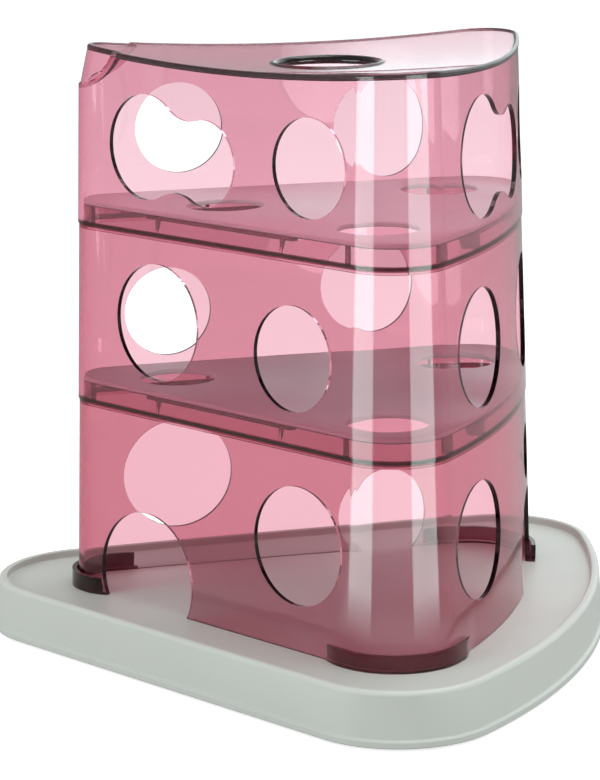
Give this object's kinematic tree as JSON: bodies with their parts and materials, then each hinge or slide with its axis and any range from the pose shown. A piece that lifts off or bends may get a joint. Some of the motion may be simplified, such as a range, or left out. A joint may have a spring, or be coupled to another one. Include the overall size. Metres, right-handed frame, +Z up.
{
  "type": "cat activity tower",
  "caption": "Stacking treat tower for cats: clear rose tiers with paw holes and drop shelves on a tray base, fed through a snack hole in a dished top.",
  "frame": {"origin": "centre of the part's box, on the surface it stands on", "axes": "+Z up, -Y out of the flat front face, +Y towards the apex corner"},
  "size_m": [0.359, 0.3336, 0.338],
  "materials": {
    "tray": "satin pale grey",
    "pads": "matte dark grey",
    "clear_rose": "clear, tinted rose, polished",
    "shelf": "satin mid grey"
  },
  "bodies": {
    "base": {"base_tray": "tray", "foot_pads": "pads"},
    "lower": {"lower_tier": "clear_rose"},
    "shelf_low": {"lower_shelf": "shelf"},
    "middle": {"middle_tier": "clear_rose"},
    "shelf_high": {"upper_shelf": "shelf"},
    "top": {"top_tier": "clear_rose"}
  },
  "joints": [
    {"name": "lower_lift", "type": "slide", "parent": "base", "child": "lower", "axis": [0, 0, 1], "range_m": [0, 0.06]},
    {"name": "lower_shelf_lift", "type": "slide", "parent": "lower", "child": "shelf_low", "axis": [0, 0, 1], "range_m": [0, 0.06]},
    {"name": "middle_lift", "type": "slide", "parent": "shelf_low", "child": "middle", "axis": [0, 0, 1], "range_m": [0, 0.08]},
    {"name": "upper_shelf_lift", "type": "slide", "parent": "middle", "child": "shelf_high", "axis": [0, 0, 1], "range_m": [0, 0.06]},
    {"name": "top_lift", "type": "slide", "parent": "shelf_high", "child": "top", "axis": [0, 0, 1], "range_m": [0, 0.1]}
  ]
}
